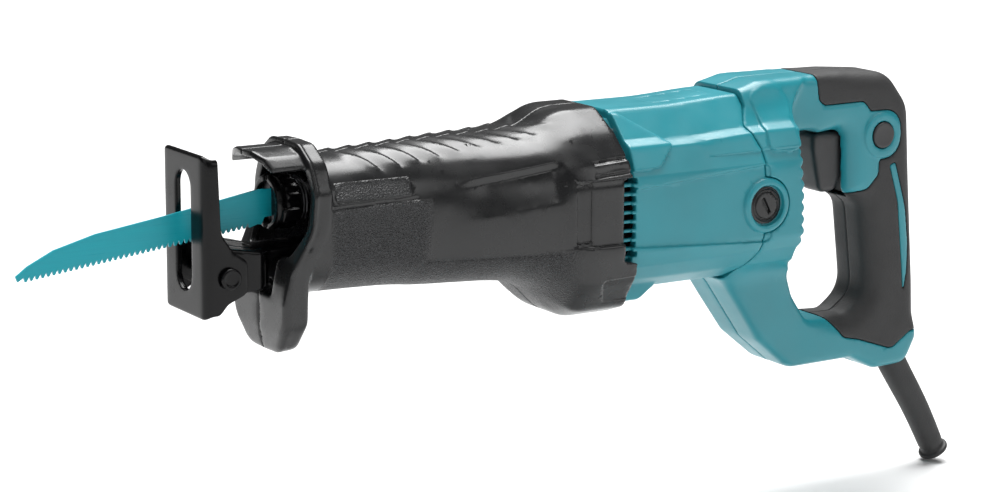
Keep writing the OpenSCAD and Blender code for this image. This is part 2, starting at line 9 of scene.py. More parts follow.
import bpy
import numpy as np
import openvdb
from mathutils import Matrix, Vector


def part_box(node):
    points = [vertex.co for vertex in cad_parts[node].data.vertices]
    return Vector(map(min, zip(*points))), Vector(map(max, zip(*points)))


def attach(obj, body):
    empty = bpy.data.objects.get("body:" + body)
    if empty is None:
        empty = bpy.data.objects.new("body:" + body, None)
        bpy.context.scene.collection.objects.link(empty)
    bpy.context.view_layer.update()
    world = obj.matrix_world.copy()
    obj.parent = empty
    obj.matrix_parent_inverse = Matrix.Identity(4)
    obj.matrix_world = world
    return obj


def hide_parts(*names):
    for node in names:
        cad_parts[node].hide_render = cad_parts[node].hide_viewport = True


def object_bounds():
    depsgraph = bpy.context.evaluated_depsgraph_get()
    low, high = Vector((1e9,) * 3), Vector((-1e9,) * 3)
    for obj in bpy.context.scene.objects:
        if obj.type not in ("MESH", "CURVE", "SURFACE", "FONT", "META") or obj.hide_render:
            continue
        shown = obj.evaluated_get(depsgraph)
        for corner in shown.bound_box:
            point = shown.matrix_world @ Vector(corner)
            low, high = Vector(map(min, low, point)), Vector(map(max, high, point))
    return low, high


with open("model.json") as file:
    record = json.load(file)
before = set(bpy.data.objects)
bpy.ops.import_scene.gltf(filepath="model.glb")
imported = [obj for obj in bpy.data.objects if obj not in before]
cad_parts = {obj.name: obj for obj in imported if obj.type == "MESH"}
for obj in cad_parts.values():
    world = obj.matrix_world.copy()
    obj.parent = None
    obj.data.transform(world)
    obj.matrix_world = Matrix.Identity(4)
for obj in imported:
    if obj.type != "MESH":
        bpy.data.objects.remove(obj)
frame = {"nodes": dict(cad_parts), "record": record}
CAD_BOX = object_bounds()
MM = 0.001
SLOT = {part["node"]: part["material_slot"] for part in frame["record"]["subparts"]}
BODY = {node: body for body, nodes in frame["record"]["behaviour"]["bodies"].items() for node in nodes}


def box_mm(node):
    """Lowest and highest corner of a CAD node, in millimetres."""
    lo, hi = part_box(node)
    return [c / MM for c in lo], [c / MM for c in hi]


def centre_mm(node):
    lo, hi = box_mm(node)
    return [(a + b) / 2 for a, b in zip(lo, hi)]


# ---- distance fields -------------------------------------------------------

class Field:
    """A regular grid of points round one piece."""

    def __init__(self, lo, hi, step):
        self.step = step
        self.lo = np.array(lo, float)
        axes = [a + step * np.arange(int((b - a) / step) + 2) for a, b in zip(lo, hi)]
        self.x = axes[0].astype("f4").reshape(-1, 1, 1)
        self.y = axes[1].astype("f4").reshape(1, -1, 1)
        self.z = axes[2].astype("f4").reshape(1, 1, -1)
        self.ay = np.abs(self.y)


def join(a, b, k=0.0):
    """Union with a fillet of about k."""
    d = np.minimum(a, b)
    if k > 0:
        h = np.maximum(k - np.abs(a - b), 0) / k
        d = d - h * h * k * 0.25
    return d


def common(a, b, k=0.0):
    """Intersection with an edge rounded by about k."""
    return -join(-a, -b, k)


def cut(a, b, k=0.0):
    return common(a, -b, k)


def slab(d, e, r):
    """Intersection of two distances with a true round edge of radius r."""
    a, b = d + r, e + r
    inside = np.minimum(np.maximum(a, b), 0)
    return inside + np.sqrt(np.maximum(a, 0) ** 2 + np.maximum(b, 0) ** 2) - r


def carve(d, mask, depth, k=0.4):
    """Sinks the surface by depth inside the mask."""
    return cut(d, np.maximum(mask, -(d + depth)), k)


def raise_up(d, mask, height, k=0.4):
    """Lifts the surface by height inside the mask."""
    return join(d, common(d - height, mask, k), k * 0.5)


def step_up(x, a, b):
    t = np.clip((x - a) / (b - a), 0, 1)
    return t * t * (3 - 2 * t)


def curve(x, points):
    """A smooth curve through (position, value) points."""
    px, py = np.array(points, float).T
    slope = np.gradient(py, px)
    i = np.clip(np.searchsorted(px, x, side="right") - 1, 0, len(px) - 2)
    h = px[i + 1] - px[i]
    t = np.clip((x - px[i]) / h, 0, 1)
    a, b = (1 + 2 * t) * (1 - t) ** 2, t * (1 - t) ** 2
    c, e = t * t * (3 - 2 * t), t * t * (t - 1)
    return (a * py[i] + b * h * slope[i] + c * py[i + 1] + e * h * slope[i + 1]).astype("f4")


def outline(corners, steps=6):
    """Closed outline from (u, v, corner radius) points, each corner rounded by an arc."""
    out = []
    count = len(corners)
    for i, (qx, qy, r) in enumerate(corners):
        q = np.array((qx, qy), float)
        a = np.array(corners[i - 1][:2], float) - q
        b = np.array(corners[(i + 1) % count][:2], float) - q
        a, b = a / np.linalg.norm(a), b / np.linalg.norm(b)
        if r <= 0:
            out.append(tuple(q))
            continue
        half = math.acos(max(-1, min(1, float(a @ b)))) / 2
        middle = (a + b) / np.linalg.norm(a + b)
        c = q + middle * r / math.sin(half)
        s, e = q + a * r / math.tan(half) - c, q + b * r / math.tan(half) - c
        a0 = math.atan2(s[1], s[0])
        turn = (math.atan2(e[1], e[0]) - a0 + 3 * math.pi) % (2 * math.pi) - math.pi
        out += [tuple(c + r * np.array((math.cos(a0 + turn * k / steps), math.sin(a0 + turn * k / steps))))
                for k in range(steps + 1)]
    return out


def flat(u, v, corners, steps=6):
    """Signed distance in the plane (u, v) to a rounded outline."""
    points = outline(corners, steps)
    shape = np.broadcast_shapes(np.shape(u), np.shape(v))
    best = np.full(shape, 1e9, "f4")
    inside = np.zeros(shape, bool)
    for (ax, ay), (bx, by) in zip(points, points[1:] + points[:1]):
        ex, ey = bx - ax, by - ay
        length = ex * ex + ey * ey
        if length < 1e-12:
            continue
        wx, wy = u - ax, v - ay
        t = np.clip((wx * ex + wy * ey) / length, 0, 1)
        best = np.minimum(best, (wx - ex * t) ** 2 + (wy - ey * t) ** 2)
        if ey != 0:
            inside ^= ((ay <= v) != (by <= v)) & (wx < wy * ex / ey)
    return np.where(inside, -1, 1).astype("f4") * np.sqrt(best)


def rect(u, v, u0, u1, v0, v1, r=0.0):
    """Signed distance to a rectangle with corners of radius r."""
    a = np.abs(u - (u0 + u1) / 2) - (u1 - u0) / 2
    b = np.abs(v - (v0 + v1) / 2) - (v1 - v0) / 2
    return slab(a, b, r)


def disc(u, v, cu, cv, r):
    return np.sqrt((u - cu) ** 2 + (v - cv) ** 2) - r


def line(u, v, p, q, width):
    """Distance to a stroke of that width between two points of a plane."""
    ex, ey = q[0] - p[0], q[1] - p[1]
    t = np.clip(((u - p[0]) * ex + (v - p[1]) * ey) / (ex * ex + ey * ey), 0, 1)
    return np.sqrt((u - p[0] - ex * t) ** 2 + (v - p[1] - ey * t) ** 2) - width / 2


def make_mesh(name, verts, faces):
    mesh = bpy.data.meshes.new(name)
    sizes = np.array([len(f) for f in faces], dtype="i4") if not isinstance(faces, tuple) else None
    if sizes is None:
        tris, quads = faces
        loops = np.concatenate([tris.ravel(), quads.ravel()])
        sizes = np.concatenate([np.full(len(tris), 3), np.full(len(quads), 4)])
    else:
        loops = np.array([i for f in faces for i in f])
    mesh.vertices.add(len(verts))
    mesh.vertices.foreach_set("co", np.asarray(verts, "f4").ravel())
    mesh.loops.add(len(loops))
    mesh.loops.foreach_set("vertex_index", loops.astype("i4"))
    mesh.polygons.add(len(sizes))
    mesh.polygons.foreach_set("loop_start", np.concatenate([[0], np.cumsum(sizes)[:-1]]).astype("i4"))
    mesh.polygons.foreach_set("loop_total", sizes.astype("i4"))
    mesh.update(calc_edges=True)
    mesh.validate()
    obj = bpy.data.objects.new(name, mesh)
    bpy.context.scene.collection.objects.link(obj)
    mesh.shade_smooth()
    return obj


def surface(field, d, mirror):
    """Vertices (m), triangles and quads of the zero surface of a field."""
    band = 3 * field.step
    d = np.broadcast_to(d, (field.x.size, field.y.size, field.z.size))
    grid = openvdb.FloatGrid(band)
    grid.copyFromArray(np.ascontiguousarray(np.clip(d, -band, band), "f4"))
    grid.transform = openvdb.createLinearTransform(voxelSize=field.step)
    points, tris, quads = grid.convertToPolygons(isovalue=0.0, adaptivity=MESH_DETAIL)
    verts = (points + field.lo) * MM
    flip = winds_inward(verts, tris, quads)
    if mirror:
        verts = verts * np.array((1, -1, 1))
        flip = not flip
    if flip:
        tris, quads = tris[:, ::-1], quads[:, ::-1]
    return verts, (tris, quads)


def winds_inward(verts, tris, quads):
    """True if the faces wind the wrong way, from the sign of the volume that they enclose."""
    t = np.concatenate([tris, quads[:, :3], quads[:, [0, 2, 3]]])
    a, b, c = verts[t[:, 0]], verts[t[:, 1]], verts[t[:, 2]]
    return float((a * np.cross(b, c)).sum()) < 0


def shell(node, field, d, mirror=False):
    """One moulded piece that replaces a CAD node, with that node's body and material slot."""
    verts, faces = surface(field, d, mirror)
    obj = make_mesh("shell." + node, verts, faces)
    obj.data.materials.append(MATERIALS[SLOT[node]])
    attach(obj, BODY[node])
    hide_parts(node)
    return obj

# ---- materials -------------------------------------------------------------

MIX_A, MIX_B, MIX_RESULT = 6, 7, 2  # the Mix node's colour sockets


class Shade:
    """A Principled material with procedural detail."""

    def __init__(self, name, colour, roughness, metallic=0.0, specular=0.5):
        self.mat = bpy.data.materials.new(name)
        self.mat.use_nodes = True
        self.nodes = self.mat.node_tree.nodes
        self.links = self.mat.node_tree.links
        self.bsdf = self.nodes["Principled BSDF"]
        self.set(self.bsdf, {"Base Color": (*colour, 1), "Roughness": roughness, "Metallic": metallic,
                             "Specular IOR Level": specular})
        self.coords = self.nodes.new("ShaderNodeTexCoord").outputs["Object"]
        self.normal = None

    @staticmethod
    def set(node, values):
        for key, value in values.items():
            node.inputs[key].default_value = value

    def add(self, kind, values=None, **attributes):
        node = self.nodes.new(kind)
        for key, value in attributes.items():
            setattr(node, key, value)
        self.set(node, values or {})
        return node

    def noise(self, scale, detail=2.0, rough=0.5, stretch=None):
        node = self.add("ShaderNodeTexNoise", {"Scale": scale, "Detail": detail, "Roughness": rough})
        source = self.coords
        if stretch:
            mapping = self.add("ShaderNodeMapping", {"Scale": stretch})
            self.links.new(source, mapping.inputs["Vector"])
            source = mapping.outputs["Vector"]
        self.links.new(source, node.inputs["Vector"])
        return node.outputs["Fac"]

    def math(self, operation, a, b):
        node = self.add("ShaderNodeMath", operation=operation)
        for socket, value in zip(node.inputs, (a, b)):
            if isinstance(value, (int, float)):
                socket.default_value = value
            else:
                self.links.new(value, socket)
        return node.outputs[0]

    def ramp(self, source, low, high, a, b):
        """source from low to high becomes a to b, clamped."""
        node = self.add("ShaderNodeMapRange", {"From Min": low, "From Max": high, "To Min": a, "To Max": b})
        self.links.new(source, node.inputs["Value"])
        return node.outputs["Result"]

    def axis(self, letter):
        if not hasattr(self, "parts"):
            node = self.add("ShaderNodeSeparateXYZ")
            self.links.new(self.coords, node.inputs[0])
            self.parts = node.outputs
        return self.parts[letter]

    def bump(self, height, strength, distance):
        node = self.add("ShaderNodeBump", {"Strength": strength, "Distance": distance})
        if self.normal:
            self.links.new(self.normal, node.inputs["Normal"])
        self.links.new(height, node.inputs["Height"])
        self.normal = node.outputs["Normal"]
        self.links.new(self.normal, self.bsdf.inputs["Normal"])

    def colours(self, factor, a, b):
        node = self.add("ShaderNodeMix", data_type="RGBA")
        self.links.new(factor, node.inputs["Factor"])
        node.inputs[MIX_A].default_value = (*a, 1)
        node.inputs[MIX_B].default_value = (*b, 1)
        self.links.new(node.outputs[MIX_RESULT], self.bsdf.inputs["Base Color"])

    def roughness(self, source):
        self.links.new(source, self.bsdf.inputs["Roughness"])


def scaled(colour, k):
    return tuple(c * k for c in colour)


TEAL = (0.0128, 0.212, 0.256)
CHARCOAL = (0.026, 0.026, 0.0265)
BLACK = (0.0085, 0.0088, 0.0093)


def moulded(name, colour, roughness, grain, depth, specular=0.5):
    """Moulded plastic: a fine spark-eroded grain, slow changes of gloss and a faint cloudiness."""
    s = Shade(name, colour, roughness, specular=specular)
    cloud = s.noise(28.0, 3.0)
    s.colours(s.ramp(cloud, 0.3, 0.7, 0.0, 1.0), scaled(colour, 0.93), scaled(colour, 1.07))
    s.roughness(s.ramp(s.noise(90.0, 4.0), 0.25, 0.75, roughness - 0.05, roughness + 0.06))
    s.bump(s.noise(grain, 3.0, 0.6), 0.35, depth)
    return s.mat


def cover_black():
    """The front cover: satin black above, a coarse grip grain on its lower sides and in its patches."""
    s = Shade("cover_black", BLACK, 0.32, specular=0.45)
    z, x = s.axis("Z"), s.axis("X")
    low = s.ramp(z, -0.0305, -0.0335, 0.0, 1.0)
    front = s.math("MULTIPLY", s.ramp(x, 0.112, 0.119, 1.0, 0.0), s.ramp(z, 0.0, -0.0015, 0.0, 1.0))
    strip_x = s.math("MULTIPLY", s.ramp(x, 0.0665, 0.0675, 0.0, 1.0), s.ramp(x, 0.1075, 0.1065, 0.0, 1.0))
    strip_z = s.math("MULTIPLY", s.ramp(z, 0.0022, 0.003, 0.0, 1.0), s.ramp(z, 0.0112, 0.0104, 0.0, 1.0))
    behind_ring = s.ramp(x, 0.0625, 0.066, 0.0, 1.0)
    strip = s.math("MULTIPLY", strip_x, strip_z)
    grainy = s.math("MULTIPLY", s.math("MAXIMUM", low, front), behind_ring)
    grainy = s.math("MULTIPLY", grainy, s.ramp(x, 0.186, 0.2, 1.0, 0.0))
    grain = s.math("MAXIMUM", grainy, strip)
    speck = s.noise(1300.0, 1.0)
    s.colours(s.math("MULTIPLY", grain, s.ramp(speck, 0.4, 0.66, 0.25, 1.0)), BLACK, scaled(BLACK, 3.6))
    gloss = s.ramp(s.noise(70.0, 4.0), 0.3, 0.7, 0.22, 0.32)
    s.roughness(s.math("ADD", gloss, s.math("MULTIPLY", grain, 0.2)))
    coarse = s.add("ShaderNodeTexVoronoi", {"Scale": 1150.0})
    s.links.new(s.coords, coarse.inputs["Vector"])
    s.bump(s.math("MULTIPLY", coarse.outputs["Distance"], grain), 1.0, 0.0009)
    s.bump(s.noise(1500.0, 2.0), 0.12, 0.0001)
    return s.mat


def painted_black():
    s = Shade("black_paint", (0.0015, 0.0015, 0.0018), 0.2, specular=0.2)
    s.roughness(s.ramp(s.noise(60.0, 5.0), 0.3, 0.7, 0.16, 0.3))
    s.bump(s.noise(420.0, 4.0, 0.6), 0.16, 0.00012)
    return s.mat


def blade_paint():
    """Painted blade, with faint grinding lines along it."""
    s = Shade("blade_paint", (0.004, 0.28, 0.34), 0.33, specular=0.3)
    lines = s.noise(220.0, 4.0, 0.6, stretch=(0.15, 1.0, 6.0))
    s.colours(s.ramp(lines, 0.35, 0.65, 0.0, 1.0), (0.004, 0.27, 0.33), (0.0045, 0.29, 0.35))
    s.roughness(s.ramp(lines, 0.3, 0.7, 0.26, 0.42))
    s.bump(lines, 0.05, 0.00005)
    return s.mat


def metal(name, colour, roughness, stretch=(1, 1, 1), scale=300.0):
    s = Shade(name, colour, roughness, metallic=1.0)
    grain = s.noise(scale, 4.0, 0.6, stretch=stretch)
    s.roughness(s.ramp(grain, 0.3, 0.7, roughness - 0.08, roughness + 0.1))
    s.colours(s.ramp(s.noise(40.0, 3.0), 0.3, 0.7, 0.0, 1.0), scaled(colour, 0.88), colour)
    s.bump(grain, 0.2, 0.0001)
    return s.mat


MATERIALS = {
    "black_plastic": cover_black(),
    "teal_plastic": moulded("teal_plastic", TEAL, 0.34, 1700.0, 0.00006),
    "grip_rubber": moulded("grip_rubber", CHARCOAL, 0.56, 900.0, 0.0005, specular=0.35),
    "black_paint": painted_black(),
    "blade_paint": blade_paint(),
    "steel": metal("steel", (0.56, 0.57, 0.58), 0.3, stretch=(0.2, 1, 1)),
    "dark_steel": metal("dark_steel", (0.05, 0.05, 0.053), 0.4),
    "casting": metal("casting", (0.6, 0.61, 0.62), 0.5, scale=600.0),
    "copper": metal("copper", (0.55, 0.24, 0.1), 0.32, stretch=(0.1, 1, 1), scale=500.0),
    "brass": metal("brass", (0.7, 0.53, 0.24), 0.3),
    "carbon": moulded("carbon", (0.03, 0.03, 0.03), 0.7, 900.0, 0.0001),
    "dark_plastic": moulded("dark_plastic", (0.022, 0.022, 0.023), 0.42, 1500.0, 0.00012),
}

# ---- moulded shells --------------------------------------------------------

MESH_DETAIL = 0.02                # how freely flat stretches are merged into larger faces
STEP = 0.6  # grid of the large shells
FINE = 0.4  # grid of the small pieces
SEAM = 0.12                       # each half stops this far from the middle plane
MOTOR_Z = centre_mm("armature_core")[2]
BRUSH = centre_mm("brush_caps")
LOCK = centre_mm("lock_button")
RIVET = centre_mm("shoe_rivet")
WALL = 3.0                        # wall of the front cover
HOUSING_FRONT = 229.6             # where the motor housing comes out of the cover
GUARD_TOP, GUARD_TIP = (431.0, 0.0, -116.0), (473.0, 0.0, -187.0)
GUARD_LENGTH = math.dist(GUARD_TOP, GUARD_TIP)


def half(f, d):
    """Keeps the -Y half, with a softened edge along the middle seam."""
    return common(d, f.y + SEAM, 0.4)


def nose_ring(f):
    """The guard ring round the nose, which sweeps forward at its foot into the chin."""
    along = curve(f.z, [(-74, 46.8), (-38, 46.8), (-29, 48.2), (-19, 52.6), (-9, 56.8), (2, 58.4),
                        (30, 58.4)])
    front = [(0, 29.8, 0), (14, 29.2, 8), (26, 21, 12), (31.6, 8, 14), (31.4, -14, 14), (28, -32, 6),
             (26.5, -56, 12), (15, -71, 9), (0, -71.5, 0), (-40, -71.5, 0), (-40, 29.8, 0)]
    shape = flat(f.ay, f.z, front)
    ring = slab(shape, np.abs(f.x - along) - 4.8, 1.3)
    bead = slab(shape - 0.5, np.abs(f.x - along + 3.6) - 1.1, 1.0)
    side = flat(f.x, f.z, [(56, -20, 0), (50, -20, 0), (44, -27, 8), (41, -38, 6), (39.2, -46, 3),
                           (39.2, -60, 6), (42.2, -71.2, 5), (50, -71.2, 6), (52.4, -56, 10),
                           (52, -36, 6)])
    chin = slab(shape, side, 2.2)
    pocket = flat(f.ay, f.z, [(-40, -43.6, 0), (12.6, -43.6, 2), (12.6, -24, 0.8), (22, -23, 4),
                              (24, -12, 2), (-40, -12, 0)])
    chin = cut(chin, np.maximum(pocket, f.x - 60), 0.8)
    return join(join(ring, bead, 0.4), chin, 4.0), along


def nose_opening(f):
    """The hole in the nose, in front view."""
    return flat(f.ay, f.z, [(-40, 23.2, 0), (10, 23.2, 6), (21, 17.5, 9), (26.2, 7, 12), (26.2, -12, 10),
                            (21, -23.6, 6), (12.6, -24.6, 0.8), (12.6, -43.5, 2), (-40, -43.5, 0)])


def visor(f):
    """The short hood over the clamp."""
    roof = [(-40, 27.2, 0), (8, 27.2, 6), (17, 24.6, 5), (22.8, 19.2, 1.2), (20.4, 17.4, 1.2),
            (15, 21.6, 4), (7, 24, 6), (-40, 24, 0)]
    front = 31.2 + 0.012 * f.ay ** 2
    return slab(flat(f.ay, f.z, roof), np.maximum(front - f.x, f.x - 58), 0.9)


def barrel(f):
    """Outside of the barrel and of the flared collar behind it."""
    x, z = f.x, f.z
    w = curve(x, [(40, 31), (84, 31.6), (106, 32), (116, 32.6), (126, 34), (140, 36.8), (156, 40.2),
                  (176, 43.2), (192, 45), (204, 46), (240, 46.4)])
    top = curve(x, [(40, 21.6), (84, 22), (110, 23), (140, 24.2), (176, 25.4), (188, 26.8), (199, 30.4),
                    (209, 32.6), (218, 33.0), (228, 32.4), (240, 32)])
    low = curve(x, [(40, -44.8), (84, -45.4), (104, -46.2), (118, -47.6), (140, -48.6), (160, -49.6),
                    (172, -51.4), (184, -56), (198, -63.4), (210, -69), (222, -70.8), (240, -70.4)])
    power = curve(x, [(40, 2.5), (100, 2.6), (150, 2.7), (240, 2.9)])
    mid, tall = (top + low) / 2, (top - low) / 2
    around = ((f.ay / w) ** power + (np.abs(z - mid) / tall) ** power) ** (1 / power)
    tube = (around - 1) * np.minimum(w, tall) * 0.97
    facets = flat(f.ay, z, [(-50, 33.0, 0), (15, 32.8, 7), (30.5, 22.4, 7), (42.4, 9.6, 6),
                            (46.4, -1, 6), (46.4, -36, 6), (42.4, -50, 7), (30, -65.6, 7),
                            (15, -70.8, 7), (-50, -70.8, 0)])
    t = step_up(x, 182, 210)
    return tube * (1 - t) + facets * t


def shoulder(f, d):
    """Turns the side of the shoulder inwards between two slanting edges."""
    x, z = f.x, f.z
    upper = 5.6 + (x - 122) * 0.115 - 0.0035 * np.clip(142 - x, 0, 30) ** 2
    lower = -11.4 + (x - 140) * 0.12
    fade = step_up(x, 124, 150) * (1 - step_up(x, 183, 191)) * step_up(f.ay, 18, 24)
    under = step_up(upper - z, -0.5, 4.5)
    back = 1 - np.clip((upper - z) / (upper - lower), 0, 1)
    return d + fade * 2.8 * under * (0.12 + 0.88 * back) * step_up(z - lower, -1.2, 1.0)


def ridges(f, d):
    """Slanted scales over the top of the barrel."""
    x, z, ay = f.x, f.z, f.ay
    along = x - 0.62 * ay
    phase = ((along - 80) / 11.5) % 1.0
    wave = np.where(phase < 0.74, step_up(phase, 0, 0.74), 1 - step_up(phase, 0.74, 1))
    reach = 27.5 - 0.05 * (x - 80)
    place = step_up(along, 70, 76) * (1 - step_up(along, 176, 192)) * (1 - step_up(ay, reach - 5, reach))
    return d + (0.3 - 0.85 * wave) * place * step_up(z, 3, 8)


def cover_details(f, d):
    x, z, ay = f.x, f.z, f.ay
    d = shoulder(f, ridges(f, d))
    side = 20 - ay
    strip = flat(x, z, [(66.5, 1.8, 1.5), (108, 3.2, 1.5), (108, 10.4, 5), (72, 10.6, 5), (66.5, 7, 3)])
    d = carve(d, np.maximum(strip, side), 0.5, 0.3)
    d = carve(d, np.maximum(line(x, z, (62, -0.9), (110, 0.6), 1.0), side), 0.6, 0.3)
    d = carve(d, np.maximum(line(x, z, (116, -31.8), (194, -33.6), 0.8), side), 0.4, 0.2)
    # the collar's lobes above and below its smooth band
    upper = flat(x, z, [(186, 14, 3), (194, 2.4, 2), (240, 2.6, 0), (240, 60, 0), (180, 60, 0)])
    lower = flat(x, z, [(190, -30, 3), (240, -31, 0), (240, -90, 0), (180, -90, 0), (180, -50, 6)])
    d = raise_up(d, np.minimum(upper, lower), 1.9 * step_up(x, 186, 209), 0.6)
    d = carve(d, np.maximum(rect(x, z, 194, 202, -28.5, 1, 1.0), side), 1.3, 0.5)
    for z0 in (4.9, 11.4):
        d = carve(d, np.maximum(line(x, z, (205, z0 - 0.5), (234, z0 + 1.1), 1.4), side), 1.0, 0.9)
    pocket = flat(x, z, [(210, -49.5, 2), (240, -48.6, 0), (240, -62, 0), (217, -62.5, 2)])
    return carve(d, np.maximum(pocket, side), 0.8, 1.0)


def front_cover(side_name, mirror):
    f = Field((27, -53, -77), (237, 1.4, 39), STEP)
    x, z = f.x, f.z
    outside = barrel(f)
    dressed = cover_details(f, outside)
    ring, along = nose_ring(f)
    behind_ring = along - x
    rear = x - (228.2 - 0.085 * (z + 19))
    dressed = np.maximum(dressed, behind_ring)
    d = join(dressed, ring, 1.6)
    d = join(d, visor(f), 1.2)
    d = common(d, rear, 0.8)
    hollow = np.maximum(outside + WALL, (along - 1) - x)
    d = cut(d, hollow)
    d = cut(d, np.maximum(nose_opening(f), x - along - 5.4), 0.8)
    notch = np.maximum(flat(x, z, [(221.5, 1.2, 1), (229, 2.6, 0), (260, 2.6, 0), (260, -41.8, 0),
                                   (230, -41.8, 0), (221.5, -40, 1)]), 30 - f.ay)
    d = cut(d, notch, 0.5)
    shell("front_cover_" + side_name, f, half(f, d), mirror)


MOTOR_OUTLINE = [(-60, 33.4, 0), (17.5, 32.8, 4), (31.5, 17.6, 2.2), (36.8, 14.8, 2.2),
                 (42.6, 1.5, 2.5), (43.1, -4, 2.5), (43.1, -38, 2.5), (39.6, -45, 2), (31, -54.4, 2.5),
                 (20, -61.2, 3), (-60, -61.6, 0)]


def motor_body(f):
    """Outside of the motor housing and of the front of the handle, which share one outline."""
    x, z = f.x, f.z
    d = np.broadcast_to(flat(f.ay, z, MOTOR_OUTLINE), (x.size, f.y.size, z.size))
    lift = 2.2 * step_up(x, 262, 312)
    d = np.where(z > 8, flat(f.ay, z - lift, MOTOR_OUTLINE), d)
    side = 24 - f.ay
    panel = flat(x, z, [(200, -7.2, 0), (316, 0.8, 3), (318, -40.4, 3), (200, -32.6, 0)])
    d = carve(d, np.maximum(panel, side), 1.4, 1.0)
    wedge = flat(x, z, [(200, 31.5, 0), (233, 31.5, 2), (257, 16, 2), (246, 5.5, 2), (200, 3, 0)])
    d = raise_up(d, np.maximum(wedge, 15 - f.ay), 2.2, 1.0)
    return d


def seam_line(f):
    """Positive behind the seam between the motor housing and the handle, seen from the side."""
    return flat(f.x, f.z, [(100, 90, 0), (311.5, 90, 0), (311.8, 29, 2), (306.6, 20, 2), (312.6, 7, 3),
                           (314, -4, 0), (314, -37, 2), (312, -50, 3), (303.5, -62, 1), (280, -66, 0),
                           (280, -120, 0), (100, -120, 0)])


def motor_boss(f, radius):
    return np.maximum(disc(f.x, f.z, BRUSH[0], BRUSH[2], radius), 24 - f.ay)


def motor_housing():
    f = Field((219, -46, -71), (331, 46, 37), STEP)
    x, z, ay = f.x, f.z, f.ay
    d = motor_body(f)
    foot = slab(flat(ay, z, [(-60, -40, 0), (24, -40, 0), (24, -60, 4), (20, -68.4, 4), (-60, -68.4, 0)]),
                x - 256 + 0.9 * np.clip(-61 - z, 0, 9), 1.5)
    d = join(d, foot, 3.0)
    neck = np.maximum(flat(ay, z, MOTOR_OUTLINE) + 2.7, x - 231)
    neck = np.maximum(neck, z - 28.4)
    d = np.where(x < HOUSING_FRONT, np.maximum(d, HOUSING_FRONT - x), d)
    d = np.minimum(d, neck)
    d = common(d, seam_line(f) + 2 * SEAM, 0.7)
    boss = slab(disc(x, z, BRUSH[0], BRUSH[2], 14.6), ay - 44.0, 2.2)
    d = join(d, np.maximum(boss, 24 - ay), 0.6)
    d = cut(d, np.maximum(disc(x, z, BRUSH[0], BRUSH[2], 10.8), 41.2 - ay), 0.5)
    d = cut(d, np.maximum(disc(x, z, BRUSH[0], BRUSH[2], 8.8), 20 - ay))
    d = cut(d, np.maximum(np.sqrt(f.y ** 2 + (z - MOTOR_Z) ** 2) - 38.3, 210 - x))
    slots = rect(x, ((z + 19.0) + 2.35) % 4.7 - 2.35, 223, 232, -1.5, 1.5, 0.3)
    slots = np.maximum(slots, np.abs(z + 19.0) - 20.5)
    d = cut(d, np.maximum(slots, 32 - ay), 0.2)
    plate = np.abs(rect(x, f.y, 264, 300, -9, 9, 2.0)) - 0.35
    d = carve(d, np.maximum(plate, 20 - z), 0.4, 0.2)
    shell("motor_housing", f, np.maximum(d, 220.9 - x))


HANDLE_SIDE = [(300, 33.4, 0), (312, 35, 4), (325, 40.3, 8), (384, 41.2, 30), (418, 38.4, 18),
               (432.6, 20, 20), (435.6, -20, 30), (440.8, -80, 40), (442.6, -112, 10), (435, -126.4, 9),
               (413, -127.2, 8), (396, -118.8, 8), (352, -119.2, 14), (330, -101, 10), (303.5, -63, 3),
               (300, -40, 0)]
HAND_GAP = [(343.5, 10.8, 5), (364, 10.8, 3), (369, 8.6, 3), (387, 8.6, 5), (388.6, -26, 6),
            (400.5, -34, 10), (407, -84, 14), (393, -94.2, 9), (364, -93.2, 8), (353.5, -78, 14),
            (344, -50, 30)]
GRIP = [(362, 60, 0), (367, 27, 4), (371, 24.2, 2), (398, 24.4, 5), (403, 18.6, 2), (424.4, 18.6, 11),
        (424.4, -8, 11), (410, -8.6, 2), (409.6, -17, 5), (402, -24.6, 6), (392, -26.6, 2),
        (380, -30, 0), (380, -70, 0), (368, -86, 0), (377, -93, 3), (389, -106, 5), (400, -108.5, 8),
        (423, -116.4, 6), (436, -108, 3), (480, -104, 0), (480, 60, 0)]


def handle_outside(f):
    x, z, ay = f.x, f.z, f.ay
    side = flat(x, z, HANDLE_SIDE)
    gap = flat(x, z, HAND_GAP)
    thick = 18.0 + 3.0 * np.clip((356 - x) / 40, 0, 1)
    grip = step_up(x, 362, 392) * step_up(z, -112, -96)
    plate = slab(side, ay - thick, 5.0) * (1 - grip) + slab(side, ay - thick, 10.0) * grip
    plate = slab(plate, -gap, 5.0) * (1 - grip) + slab(plate, -gap, 12.0) * grip
    rear = curve(z, [(-76, 352), (-62, 346), (-48, 340), (-30, 338.6), (-14, 338.2), (0, 337),
                     (10, 338.6), (22, 342), (40, 352)])
    scallop = np.abs(np.sin((z + 46) * math.pi / 6.2)) * step_up(z, -47, -43) * (1 - step_up(z, 4, 8))
    body = motor_body(f)
    pad = flat(x, z, [(318, 33, 4), (333, 36, 5), (341, 30, 5), (336, 16, 5), (339, 8, 4), (330, 6, 4),
                      (316, 8, 4)])
    body = raise_up(body, np.maximum(pad, 15 - ay), 1.3, 0.8)
    body = common(body, x - rear - 1.7 * scallop + 0.8, 1.6)
    d = join(body, plate, 9.0)
    d = cut(d, gap, 1.5)
    return common(d, 2 * SEAM - seam_line(f), 0.7)


